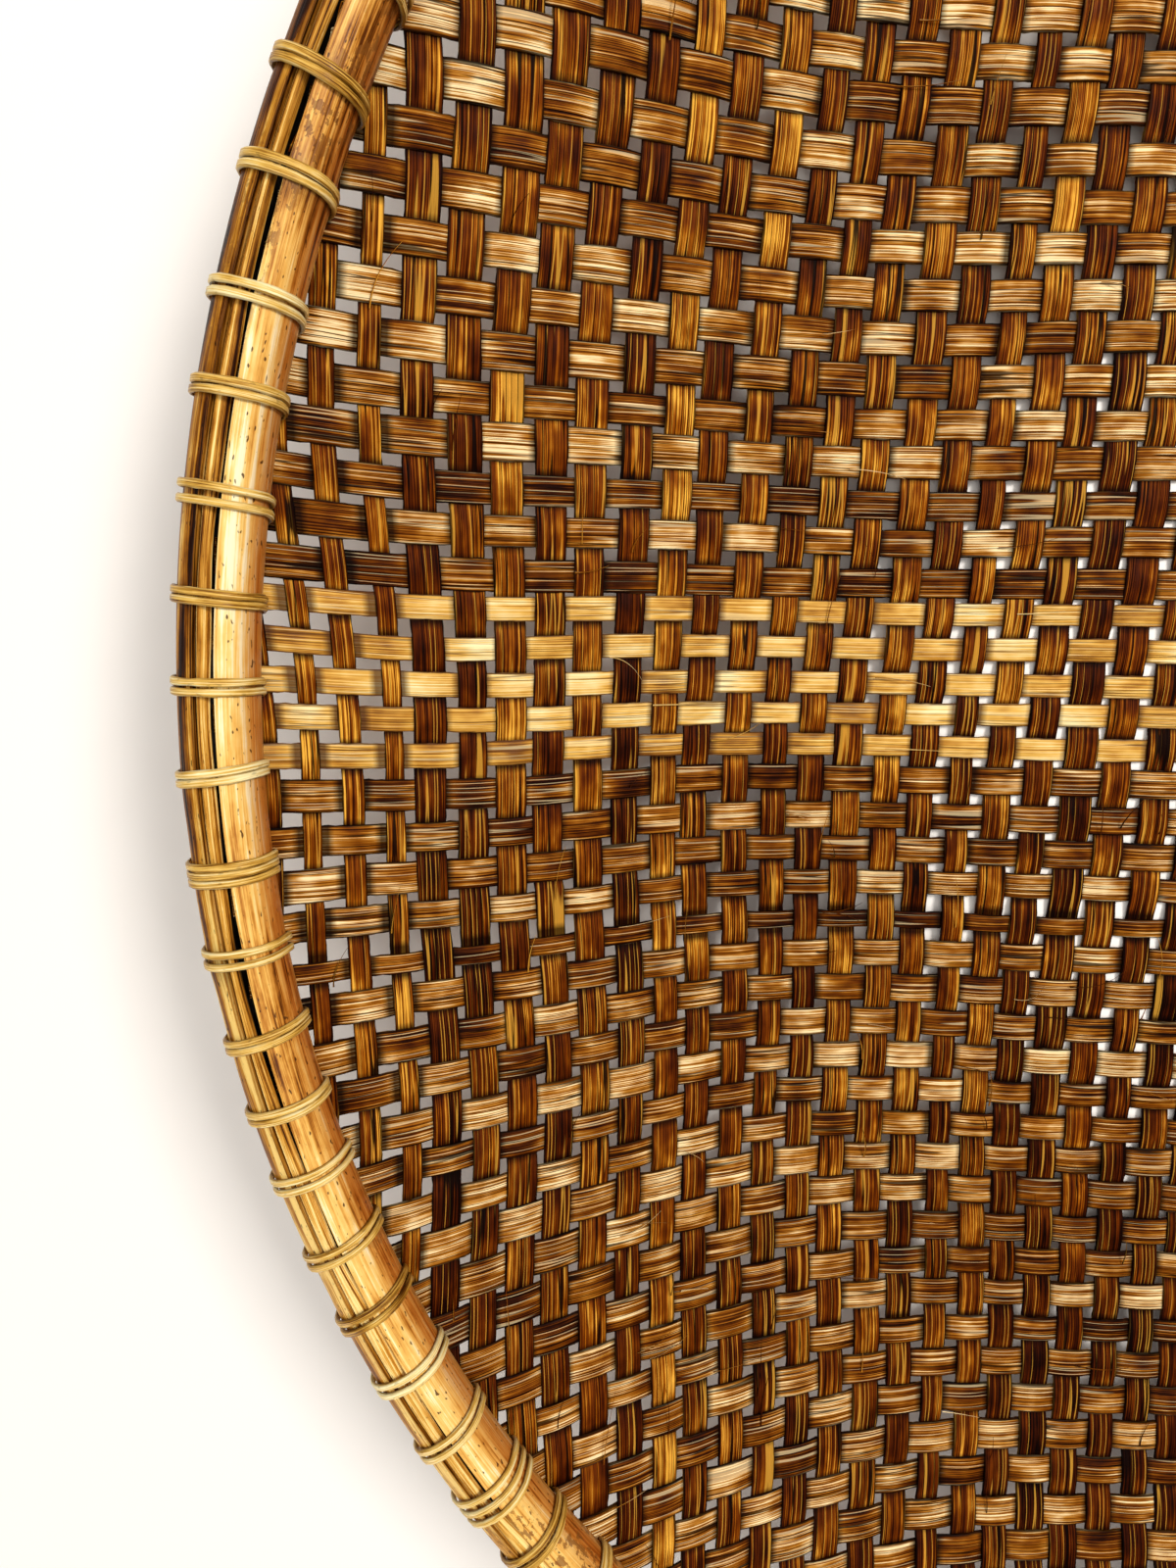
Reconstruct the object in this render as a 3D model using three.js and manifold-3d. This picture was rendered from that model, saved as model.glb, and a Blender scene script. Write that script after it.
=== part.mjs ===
// Winnowing basket: a round, shallow tray of plain-woven split strips, whose edge is turned up
// and clamped between two bent hoops, with a thin splint over the edge and cane lashings round it.
// Millimetres, +Z up. The origin is on the table, under the middle of the flat floor.
// Warp strips run along Y and lie below; weft strips run along X and lie on top of them.

import * as THREE from "three";
import { mergeVertices } from "three/addons/utils/BufferGeometryUtils.js";
import Module from "manifold-3d";

const wasm = await Module();
wasm.setup();

// Overall size
const RIM_RADIUS = 260; // outer face of the outer hoop
const FLOOR_RADIUS = 90; // flat middle of the tray
const BOWL_DEPTH = 42.8; // height the bowl curve would reach at RIM_RADIUS
const BOWL_POWER = 2.2; // how sharply the wall turns up
const STEPS_ROUND = 104; // facets round every ring, one lashing on each
const HOOP_POINTS = 7; // points on a hoop's rounded side
const GAP = 0.3; // clearance between pieces that touch

// Woven mat: two layers of strips, each as thick as one strip
const STRIP_THICK = 0.7;
const BAND_COUNT = 5; // light wefts across the middle
const BAND_MIDDLE_Y = 7; // the band lies a little beyond the tray's centre
const BAND_PITCH = 6.6;
const BAND_STRIP_WIDTH = 4.6;
const BAND_CLEAR = 2; // space between the last light weft and the darker ones
const EDGE_BEND_RADIUS = 3; // where the wall turns up between the hoops
const EDGE_FLANGE = 6; // upright length of the mat's edge

// Rim: two half-round hoops with the mat's edge and a splint between them, together one round bar
const BAR_RADIUS = 6.7;
const BAR_Z = 43.7; // height of the bar's centre
const SPLINT_THICK = 1.4;
const SPLINT_TOP = 6.3; // above the bar's centre
const SPLINT_HEIGHT = 10;

// Lashings: two turns side by side, thirteen from each length of cane
const CANE_COUNT = 8;
const LASHINGS_PER_CANE = 13;
const LASHING_WIDTH = 3.4;
const CANE_THICK = 0.8;
const LASHING_POINTS = 9;
const LASHING_START = 221; // degrees round the bar from outside, just above the mat
const LASHING_END = -108; // just under the mat
const RUN_WIDTH = 2.2; // the cane's run from one lashing to the next
const RUN_THICK = 0.5;
const TAIL_STEPS = 0.4; // loose end past the last lashing, in facets

const HALF_MAT = STRIP_THICK + GAP / 2;
const BAR_CENTRE = RIM_RADIUS - BAR_RADIUS;
const FACE_OFFSET = (3 * GAP + SPLINT_THICK + 2 * HALF_MAT) / 2; // flat faces from the bar's centre
const SPLINT_OUT = BAR_CENTRE + FACE_OFFSET - GAP;
const EDGE_RADIUS = BAR_CENTRE - FACE_OFFSET + GAP + HALF_MAT;
const FACE_ANGLE = (Math.acos(FACE_OFFSET / BAR_RADIUS) * 180) / Math.PI;
const STEP_ANGLE = (2 * Math.PI) / STEPS_ROUND;
const SPLIT_REACH = RIM_RADIUS + 10; // past the rim, for the blocks that part the weft layer

function bowlHeight(radius) {
  const run = Math.max(radius - FLOOR_RADIUS, 0) / (RIM_RADIUS - FLOOR_RADIUS);
  return HALF_MAT + BOWL_DEPTH * run ** BOWL_POWER;
}

function bowlSlope(radius) {
  const span = RIM_RADIUS - FLOOR_RADIUS;
  const run = Math.max(radius - FLOOR_RADIUS, 0) / span;
  return Math.atan((BOWL_DEPTH * BOWL_POWER * run ** (BOWL_POWER - 1)) / span);
}

// The mat's middle surface as stations of radius, height and slope, from the centre to the edge.
function matStations() {
  const bendCentre = EDGE_RADIUS - EDGE_BEND_RADIUS;
  let joinRadius = bendCentre;
  for (let pass = 0; pass < 20; pass += 1) {
    joinRadius = bendCentre + EDGE_BEND_RADIUS * Math.sin(bowlSlope(joinRadius));
  }
  const joinSlope = bowlSlope(joinRadius);
  const bendZ = bowlHeight(joinRadius) + EDGE_BEND_RADIUS * Math.cos(joinSlope);
  const stations = [0, FLOOR_RADIUS, 150, 205].map((radius) => ({
    radius,
    height: bowlHeight(radius),
    slope: bowlSlope(radius),
  }));
  for (const slope of [joinSlope, (joinSlope + Math.PI / 2) / 2, Math.PI / 2]) {
    stations.push({
      radius: bendCentre + EDGE_BEND_RADIUS * Math.sin(slope),
      height: bendZ - EDGE_BEND_RADIUS * Math.cos(slope),
      slope,
    });
  }
  stations.push({ radius: EDGE_RADIUS, height: bendZ + EDGE_FLANGE, slope: Math.PI / 2 });
  return stations;
}

const MAT_STATIONS = matStations();

// A closed outline between two offsets from the mat's middle surface, ending on the axis.
function layerOutline(low, high) {
  const shifted = (offset) =>
    MAT_STATIONS.map(
      ({ radius, height, slope }) =>
        new THREE.Vector2(
          radius === 0 ? 0 : radius - offset * Math.sin(slope),
          height + offset * Math.cos(slope),
        ),
    );
  return [...shifted(low), ...shifted(high).reverse()];
}

function spin(outline) {
  const geometry = new THREE.LatheGeometry(outline, STEPS_ROUND);
  return geometry.rotateX(Math.PI / 2);
}

function closed(points) {
  const outline = points.map(([radius, z]) => new THREE.Vector2(radius, z));
  return [...outline, outline[0].clone()];
}

// Boolean helpers: a closed three.js geometry to a solid, and back.
function toSolid(geometry) {
  const bare = geometry.clone();
  bare.deleteAttribute("normal");
  bare.deleteAttribute("uv");
  const merged = mergeVertices(bare, 1e-3);
  const index = merged.getIndex().array;
  const triangles = [];
  for (let i = 0; i < index.length; i += 3) {
    const [a, b, c] = [index[i], index[i + 1], index[i + 2]];
    if (a !== b && b !== c && c !== a) {
      triangles.push(a, b, c);
    }
  }
  return new wasm.Manifold(
    new wasm.Mesh({
      numProp: 3,
      vertProperties: Float32Array.from(merged.getAttribute("position").array),
      triVerts: Uint32Array.from(triangles),
    }),
  );
}

function toGeometry(solid) {
  const mesh = solid.getMesh();
  const geometry = new THREE.BufferGeometry();
  const positions = new Float32Array(mesh.numVert * 3);
  for (let i = 0; i < mesh.numVert; i += 1) {
    for (let axis = 0; axis < 3; axis += 1) {
      positions[i * 3 + axis] = mesh.vertProperties[i * mesh.numProp + axis];
    }
  }
  geometry.setAttribute("position", new THREE.BufferAttribute(positions, 3));
  geometry.setIndex(new THREE.BufferAttribute(Uint32Array.from(mesh.triVerts), 1));
  geometry.computeVertexNormals();
  return geometry;
}

// A block right across the tray between two values of y, used to part the weft layer.
function slab(yLow, yHigh) {
  const block = new THREE.BoxGeometry(2 * SPLIT_REACH, yHigh - yLow, 2 * SPLIT_REACH);
  return toSolid(block.translate(0, (yLow + yHigh) / 2, 0));
}

// Points on an arc round the rim bar's centre, by angle in degrees from the outside.
function barArc(radius, fromDegrees, toDegrees, count) {
  return Array.from({ length: count }, (_, i) => {
    const degrees = fromDegrees + ((toDegrees - fromDegrees) * i) / (count - 1);
    const angle = (degrees * Math.PI) / 180;
    return [BAR_CENTRE + radius * Math.cos(angle), BAR_Z + radius * Math.sin(angle)];
  });
}

// Hoops: half-round split cane, flat where they face the mat.
function outerHoop() {
  return spin(closed(barArc(BAR_RADIUS, -FACE_ANGLE, FACE_ANGLE, HOOP_POINTS)));
}

// The inner hoop's lower side is cut to sit on the wall where it bends up.
function innerHoop() {
  const seat = MAT_STATIONS.slice(-4, -1).map(({ radius, height, slope }) => [
    radius - (HALF_MAT + GAP) * Math.sin(slope),
    height + (HALF_MAT + GAP) * Math.cos(slope),
  ]);
  const crown = barArc(BAR_RADIUS, 180 - FACE_ANGLE, LASHING_START, HOOP_POINTS - 1);
  return spin(closed([...crown, ...seat]));
}

function edgeSplint() {
  const top = BAR_Z + SPLINT_TOP;
  const low = top - SPLINT_HEIGHT;
  return spin(
    closed([
      [SPLINT_OUT - SPLINT_THICK, low],
      [SPLINT_OUT, low],
      [SPLINT_OUT, top],
      [SPLINT_OUT - SPLINT_THICK, top],
    ]),
  );
}

// One lashing: an open loop over both hoops. It starts just above the mat on the inside and ends
// just under the mat, so the strips pass between its two ends.
function lashingOutline() {
  const halfStep = ((LASHING_START - LASHING_END) * Math.PI) / 360 / (LASHING_POINTS - 1);
  const inner = (BAR_RADIUS + GAP) / Math.cos(halfStep);
  const near = barArc(inner, LASHING_START, LASHING_END, LASHING_POINTS);
  const far = barArc(inner + CANE_THICK, LASHING_START, LASHING_END, LASHING_POINTS);
  return new THREE.Shape(
    [...near, ...far.reverse()].map(([radius, z]) => new THREE.Vector2(radius, z)),
  );
}

function lashing(angle) {
  const geometry = new THREE.ExtrudeGeometry(lashingOutline(), {
    depth: LASHING_WIDTH,
    bevelEnabled: false,
  });
  geometry.translate(0, 0, -LASHING_WIDTH / 2);
  const radial = new THREE.Vector3(Math.cos(angle), Math.sin(angle), 0);
  const up = new THREE.Vector3(0, 0, 1);
  const along = new THREE.Vector3().crossVectors(radial, up);
  return geometry.applyMatrix4(new THREE.Matrix4().makeBasis(radial, up, along));
}

// The cane's run under the rim: a flat strip bent round through the middle of each lashing.
function caneRun(firstAngle) {
  const inner = [];
  const outer = [];
  const stops = Array.from({ length: LASHINGS_PER_CANE }, (_, i) => i);
  stops.push(LASHINGS_PER_CANE - 1 + TAIL_STEPS);
  for (const stop of stops) {
    const angle = firstAngle + stop * STEP_ANGLE;
    const [c, s] = [Math.cos(angle), Math.sin(angle)];
    const [near, far] = [BAR_CENTRE - RUN_WIDTH / 2, BAR_CENTRE + RUN_WIDTH / 2];
    inner.push(new THREE.Vector2(near * c, near * s));
    outer.push(new THREE.Vector2(far * c, far * s));
  }
  const strip = new THREE.Shape([...outer, ...inner.reverse()]);
  const geometry = new THREE.ExtrudeGeometry(strip, { depth: RUN_THICK, bevelEnabled: false });
  return geometry.translate(0, 0, BAR_Z - BAR_RADIUS - GAP - (CANE_THICK + RUN_THICK) / 2);
}

function rimBinder(number) {
  const firstAngle = (number * LASHINGS_PER_CANE + 0.5) * STEP_ANGLE;
  let solid = toSolid(caneRun(firstAngle));
  for (let i = 0; i < LASHINGS_PER_CANE; i += 1) {
    solid = solid.add(toSolid(lashing(firstAngle + i * STEP_ANGLE)));
  }
  return toGeometry(solid);
}

function wood(color, roughness) {
  return new THREE.MeshStandardMaterial({ color, roughness, metalness: 0 });
}

const group = new THREE.Group();

function addPiece(name, geometry, color, roughness) {
  const mesh = new THREE.Mesh(geometry, wood(color, roughness));
  mesh.name = name;
  group.add(mesh);
}

// Warp strips: the lower layer, over the whole tray.
addPiece("warp_strips", spin(layerOutline(-HALF_MAT, -GAP / 2)), 0x6b3a14, 0.55);

// Weft strips: the upper layer, parted into the darker wefts on each side and the light ones.
const weftLayer = toSolid(spin(layerOutline(GAP / 2, HALF_MAT)));
const bandEdge = ((BAND_COUNT - 1) * BAND_PITCH + BAND_STRIP_WIDTH) / 2;
const fieldEdge = bandEdge + BAND_CLEAR;
const farWefts = weftLayer.intersect(slab(BAND_MIDDLE_Y + fieldEdge, SPLIT_REACH));
const nearWefts = weftLayer.intersect(slab(-SPLIT_REACH, BAND_MIDDLE_Y - fieldEdge));
addPiece("weft_strips_far", toGeometry(farWefts), 0xa8743a, 0.5);
addPiece("weft_strips_near", toGeometry(nearWefts), 0xa8743a, 0.5);
for (let i = 0; i < BAND_COUNT; i += 1) {
  const y = BAND_MIDDLE_Y + (i - (BAND_COUNT - 1) / 2) * BAND_PITCH;
  const cut = slab(y - BAND_STRIP_WIDTH / 2, y + BAND_STRIP_WIDTH / 2);
  addPiece(`light_weft_${i + 1}`, toGeometry(weftLayer.intersect(cut)), 0xe8b95a, 0.4);
}

// Rim: two hoops with the mat's edge and its splint between them, and the canes that tie them.
addPiece("outer_hoop", outerHoop(), 0x8c5f28, 0.4);
addPiece("inner_hoop", innerHoop(), 0xe9c274, 0.35);
addPiece("edge_splint", edgeSplint(), 0xcf9e4e, 0.45);
for (let i = 0; i < CANE_COUNT; i += 1) {
  addPiece(`rim_binder_${i + 1}`, rimBinder(i), 0xc9a868, 0.35);
}

export default group;
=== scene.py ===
"""A round winnowing basket: a woven tray of split bamboo in a rim of two bent hoops."""

import bpy
import math
import numpy as np
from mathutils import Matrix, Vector


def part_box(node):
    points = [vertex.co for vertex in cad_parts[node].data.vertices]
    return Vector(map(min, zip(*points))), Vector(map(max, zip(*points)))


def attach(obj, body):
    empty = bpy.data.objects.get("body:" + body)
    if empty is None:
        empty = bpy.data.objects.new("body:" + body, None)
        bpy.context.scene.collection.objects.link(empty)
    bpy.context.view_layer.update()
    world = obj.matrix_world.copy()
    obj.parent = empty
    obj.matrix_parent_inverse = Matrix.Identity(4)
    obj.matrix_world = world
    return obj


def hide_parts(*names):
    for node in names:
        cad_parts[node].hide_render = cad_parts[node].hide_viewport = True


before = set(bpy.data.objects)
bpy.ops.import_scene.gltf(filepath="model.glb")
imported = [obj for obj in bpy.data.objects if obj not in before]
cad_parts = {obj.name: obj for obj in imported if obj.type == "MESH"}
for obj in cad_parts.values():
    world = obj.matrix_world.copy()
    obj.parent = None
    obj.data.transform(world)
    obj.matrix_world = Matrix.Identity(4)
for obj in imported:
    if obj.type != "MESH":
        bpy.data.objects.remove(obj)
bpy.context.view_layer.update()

# ---------------------------------------------------------------------------------------------
# Warp strips. About 65 strips of split bamboo, 5.8 mm wide and 0.7 mm thick, darkened by smoke
# and handling. They lie side by side from front to back and pass over and under every weft.
# Their ends are turned up and held between the hoops.

MM = 0.001
STRIP_WIDTH = 5.8 * MM
STRIP_THICK = 0.7 * MM
WARP_PITCH = 8.0 * MM
WARPS_EACH_SIDE = 32
WARP_UNEVEN = 0.08  # how much widths differ, as a share of the width
PALE_WARPS = slice(1, 4)  # narrow pale strips beside the rim
PALE_WARP_SHARE = 0.7  # of the usual width
PALE_MOOD = 0.2
WEFT_PITCH = 7.73 * MM
WEFTS_EACH_SIDE = 35  # counted from the middle light weft
WEFT_UNEVEN = 0.05
LIGHT_PITCH = 6.6 * MM
LIGHT_WIDTH = 4.6 * MM
LIGHT_EACH_SIDE = 2
LIGHT_TO_DARK = 7.3 * MM
BAND_MIDDLE = 7 * MM  # the light band lies a little beyond the tray's centre
DARK_MOOD = -0.38  # the darkest wefts: the one just beyond the light band, and a narrow one
NARROW_WEFT = 5  # counted back from the light band
NARROW_WEFT_SHARE = 0.65
PLACE_ERROR = 0.22 * MM
MOOD_SPREAD = 0.16
FAR_PALER = 0.26  # strips are this much paler at the far rim than at the centre
WEAVE_SEED = 11

FLOOR_RADIUS = 90 * MM
BOWL_DEPTH = 42.8 * MM
BOWL_POWER = 2.2
BEND_RADIUS = 3 * MM
HALF_MAT = 0.85 * MM
rim_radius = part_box("outer_hoop")[1][0]
edge_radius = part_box("warp_strips")[1][0] - HALF_MAT
mat_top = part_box("warp_strips")[1][2]


def bowl(radius):
    """Height and slope of the bowl at a plan radius: flat out to the floor's edge, then rising
    as a power of the distance beyond it."""
    run = np.maximum(radius - FLOOR_RADIUS, 0) / (rim_radius - FLOOR_RADIUS)
    rise = BOWL_DEPTH * BOWL_POWER / (rim_radius - FLOOR_RADIUS)
    return HALF_MAT + BOWL_DEPTH * run**BOWL_POWER, np.arctan(rise * run ** (BOWL_POWER - 1))


# The bowl's slope where the bend starts gives the bend's start, and the other way about, so the
# two are found by turns.
bend_centre = edge_radius - BEND_RADIUS
join_radius = bend_centre
for _ in range(20):
    join_radius = bend_centre + BEND_RADIUS * math.sin(bowl(join_radius)[1])
join_height, join_slope = (float(value) for value in bowl(join_radius))
bend_height = join_height + BEND_RADIUS * math.cos(join_slope)
upright_from = join_radius + BEND_RADIUS * (math.pi / 2 - join_slope)
mat_reach = upright_from + mat_top - bend_height


def on_mat(x, y, lift):
    """A point of the mat: the bowl out to the rim, then round a small bend and straight up
    between the hoops, moved by lift along the surface's upward normal."""
    reach = np.hypot(x, y)
    unit_x, unit_y = x / np.maximum(reach, 1e-9), y / np.maximum(reach, 1e-9)
    reach = np.minimum(reach, mat_reach)
    height, slope = bowl(np.minimum(reach, join_radius))
    turn = np.clip((reach - join_radius) / BEND_RADIUS, 0, math.pi / 2 - join_slope) + join_slope
    bent = reach > join_radius
    up = np.maximum(reach - upright_from, 0)
    radius = np.where(bent, bend_centre + BEND_RADIUS * np.sin(turn), reach)
    height = np.where(bent, bend_height - BEND_RADIUS * np.cos(turn) + up, height)
    slope = np.where(bent, turn, slope)
    radius = radius - lift * np.sin(slope)
    return np.stack([unit_x * radius, unit_y * radius, height + lift * np.cos(slope)], -1)


# Length along the surface from the middle, for points every millimetre, and the way back.
ARC_STEP = 1 * MM
PLAN_REACH = 272 * MM
ARC_REACH = 290 * MM  # no strip is longer than twice this
plan = np.arange(0, PLAN_REACH, ARC_STEP)
across, along = np.meshgrid(plan, plan, indexing="ij")  # along is measured, across is held
from_middle = np.hypot(across, along)
steepness = np.where(from_middle < join_radius, np.tan(bowl(from_middle)[1]), 0)
stretch = np.sqrt(1 + (steepness * along / np.maximum(from_middle, 1e-9)) ** 2)
arc = np.zeros_like(stretch)
arc[:, 1:] = np.cumsum((stretch[:, 1:] + stretch[:, :-1]) / 2, axis=1) * ARC_STEP
arc_grid = np.arange(0, ARC_REACH, ARC_STEP)
plan_from_arc = np.array([np.interp(arc_grid, row, plan) for row in arc])


def look_up(held, length):
    """Plan distance of a point at this length along the surface, read between table entries."""
    a = np.clip(np.abs(held) / ARC_STEP, 0, plan_from_arc.shape[0] - 1.001)
    b = np.clip(np.abs(length) / ARC_STEP, 0, plan_from_arc.shape[1] - 1.001)
    i, j = a.astype(int), b.astype(int)
    u, v = a - i, b - j
    found = (1 - u) * ((1 - v) * plan_from_arc[i, j] + v * plan_from_arc[i, j + 1])
    found += u * ((1 - v) * plan_from_arc[i + 1, j] + v * plan_from_arc[i + 1, j + 1])
    return np.sign(length) * found


SLIP = 12 * MM
SLIPPED_AT = math.radians(214)
SLIP_SPREAD = 0.42  # radians round the rim
SLIPPED_FROM = 170 * MM
SLIP_GROWTH = 1.6
SLIP_ASIDE = 0.55  # share of the slip that goes along the wefts
DRIFT = 1.1 * MM
DRIFT_AT_MIDDLE = 0.3
# Two waves each, as radians per metre along the wefts and along the warps, and a start.
DRIFT_ALONG_WEFTS = (17, 31, 0.8), (-23, 67, 2.1)
DRIFT_ALONG_WARPS = (29, -13, 4.0), (61, 19, 5.2)


def drifted(s, t, waves):
    """Two waves over the tray, the second half as high as the first."""
    first, second = (np.sin(p * s + q * t + start) for p, q, start in waves)
    return first + 0.5 * second


def weave_to_plan(s, t):
    """Plan position of the point that is s along the weft and t along the warp, both measured
    on the surface, found by turns. Smooth waves first push the whole weave out of true, more
    near the rim, as handwork and use do. At one place beside the rim it has slipped along."""
    turned = (np.arctan2(t, s) - SLIPPED_AT + np.pi) % (2 * np.pi) - np.pi
    outward = np.clip((np.hypot(s, t) - SLIPPED_FROM) / (rim_radius - SLIPPED_FROM), 0, 1)
    slip = SLIP * np.exp(-((turned / SLIP_SPREAD) ** 2)) * outward**SLIP_GROWTH
    s, t = s + SLIP_ASIDE * slip, t - slip
    loose = DRIFT * (DRIFT_AT_MIDDLE + (np.hypot(s, t) / rim_radius) ** 2)
    s, t = (
        s + loose * drifted(s, t, DRIFT_ALONG_WEFTS),
        t + loose * drifted(s, t, DRIFT_ALONG_WARPS),
    )
    x, y = s, t
    for _ in range(8):
        x, y = look_up(y, s), look_up(x, t)
    return x, y


def strip_to_plan(warp, aside, along):
    """Plan position of a point of a strip, from its place beside and along the strip."""
    return weave_to_plan(aside, along) if warp else weave_to_plan(along, aside)


def joined(values, at):
    """Values one step apart, joined by half cosines and read at these places. After the last
    value comes the first one."""
    i = np.floor(at).astype(int)
    share = (1 - np.cos(np.pi * (at - i))) / 2
    return values[i % len(values)] * (1 - share) + values[(i + 1) % len(values)] * share


NOISE_REACH = 300 * MM


def smooth_noise(rng, points, wavelength):
    """Smooth random values along a strip: one random number every wavelength, joined."""
    values = rng.normal(size=int(2 * NOISE_REACH / wavelength) + 3)
    return joined(values, (points + NOISE_REACH) / wavelength)


rng = np.random.default_rng(WEAVE_SEED)
warp_at = np.arange(-WARPS_EACH_SIDE, WARPS_EACH_SIDE + 1) * WARP_PITCH
beyond = [LIGHT_PITCH * k for k in range(1, LIGHT_EACH_SIDE + 1)]
first_dark = beyond[-1] + LIGHT_TO_DARK
beyond += [first_dark + WEFT_PITCH * k for k in range(WEFTS_EACH_SIDE - LIGHT_EACH_SIDE)]
weft_at = BAND_MIDDLE + np.array([-place for place in reversed(beyond)] + [0.0] + beyond)
near_part = slice(0, WEFTS_EACH_SIDE - LIGHT_EACH_SIDE)
light_part = slice(near_part.stop, near_part.stop + 2 * LIGHT_EACH_SIDE + 1)
far_part = slice(light_part.stop, len(weft_at))


def laid_strips(at, width, uneven):
    """Each strip's place, width and tone about the usual, as three rows."""
    moods = MOOD_SPREAD * rng.normal(size=len(at))
    at = at + rng.normal(0, PLACE_ERROR, len(at))
    return np.stack([at, width * (1 + uneven * rng.normal(size=len(at))), moods])


warps = laid_strips(warp_at, STRIP_WIDTH, WARP_UNEVEN)
wefts = laid_strips(weft_at, STRIP_WIDTH, WEFT_UNEVEN)
wefts[1, light_part] = LIGHT_WIDTH
wefts[2, far_part.start] = DARK_MOOD
wefts[1:, near_part.stop - NARROW_WEFT] = NARROW_WEFT_SHARE * STRIP_WIDTH, DARK_MOOD
warps[1, PALE_WARPS] *= PALE_WARP_SHARE
warps[2, PALE_WARPS] = PALE_MOOD

# A strip's section in widths and thicknesses: flat below, narrow shoulders above.
BELOW, SHOULDER, ABOVE = -0.42, 0.22, 0.47
SECTION = np.array([
    (-0.5, BELOW), (0.5, BELOW), (0.5, SHOULDER), (0.43, ABOVE), (-0.43, ABOVE), (-0.5, SHOULDER),
])
on_shoulder = (SECTION[:, 1] == SHOULDER).astype(float)
facing = np.sign(SECTION[:, 1])  # up or down

LEFT_EDGE, RIGHT_EDGE = [0, 5], [1, 2]

STRIP_STEP = 1.35 * MM  # between sections along a strip
COARSE_POINTS = 581  # one a millimetre, to find a strip's ends
FEWEST_POINTS = 8  # a strip with fewer of them inside the rim is left out
LIFT = 0.42 * MM  # how far a strip rises and falls about the mat's middle
FULLER = 0.1  # how much blunter than a cosine the rise and fall is
ROUGH_EDGE = 0.05 * MM
# Slow changes along a strip, each as its size and its length.
WIDTH_WAVER = 0.035, 30 * MM
SIDE_WAVER = 0.22 * MM, 35 * MM
ROLL_WAVER = 0.02, 12 * MM  # radians
TONE_WAVER = 0.08, 50 * MM
PATTERN_SHIFT = 3.7, 0.31  # metres from one strip's grain to the next, along and across


def strip_run(rng, line, width, mood, others, parity, warp, seed):
    """One strip: a section carried along its line. Its height about the mat is a cosine that
    changes sign from one crossing to the next. Returns points, pattern places and tints: the
    strip's tone, the tone from one crossing to the next, how far up it is, and its shoulders."""
    coarse = np.linspace(-ARC_REACH, ARC_REACH, COARSE_POINTS)
    x, y = strip_to_plan(warp, np.full_like(coarse, line), coarse)
    inside = coarse[np.hypot(x, y) < mat_reach]
    if len(inside) < FEWEST_POINTS:
        return None
    count = int((inside[-1] - inside[0]) / STRIP_STEP)
    s = np.linspace(inside[0], inside[-1], count)
    crossing = np.interp(s, others, np.arange(len(others)))
    wave = np.cos(np.pi * (crossing + parity))
    wave = (1 + FULLER) * wave - FULLER * wave**3
    rough = rng.normal(0, ROUGH_EDGE, (2, count))
    wide = width * (1 + WIDTH_WAVER[0] * smooth_noise(rng, s, WIDTH_WAVER[1]))
    centre = line + SIDE_WAVER[0] * smooth_noise(rng, s, SIDE_WAVER[1])
    roll = ROLL_WAVER[0] * np.clip(smooth_noise(rng, s, ROLL_WAVER[1]), -2, 2)
    aside = centre[:, None] + wide[:, None] * SECTION[None, :, 0]
    aside[:, RIGHT_EDGE] += rough[0][:, None]
    aside[:, LEFT_EDGE] += rough[1][:, None]
    lift = LIFT * wave[:, None] + STRIP_THICK * SECTION[None, :, 1]
    lift = lift + roll[:, None] * wide[:, None] * SECTION[None, :, 0]
    ahead = np.repeat(s[:, None], len(SECTION), 1)
    x, y = strip_to_plan(warp, aside, ahead)
    points = on_mat(x, y, lift)
    pattern = np.stack(
        [ahead + seed * PATTERN_SHIFT[0], aside - line + seed * PATTERN_SHIFT[1]], -1
    )
    strip_tone = 0.5 + mood + TONE_WAVER[0] * smooth_noise(rng, s, TONE_WAVER[1])
    strip_tone = strip_tone + FAR_PALER * y.mean(1) / rim_radius
    float_tone = np.interp(crossing, np.arange(len(others)), rng.random(len(others)))
    strip_tone, float_tone = np.clip([strip_tone, float_tone], 0, 1)[:, :, None]
    shown = np.clip((1 + wave[:, None] * facing[None, :]) / 2, 0, 1)
    tint = np.stack(np.broadcast_arrays(strip_tone, float_tone, shown, on_shoulder[None, :]), -1)
    return points, pattern, tint


FIBRES_PER_STRIP = 3
FIBRE_POINTS = 9
FIBRE_ZONE = 200 * MM  # fibres start within this of the tray's middle lines
FIBRE_LENGTH = 4, 13  # mm
FIBRE_BEND = 2.2  # mm
FIBRE_RISE = 0.2, 1.8  # mm
FIBRE_RADIUS = 0.1, 0.2  # mm
FIBRE_TAPER = 0.7
FIBRE_TONES = [0.0, 0.1, 0.9]  # two in three are dark, the others pale
CLEAR_OF_RIM = 12 * MM


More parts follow.
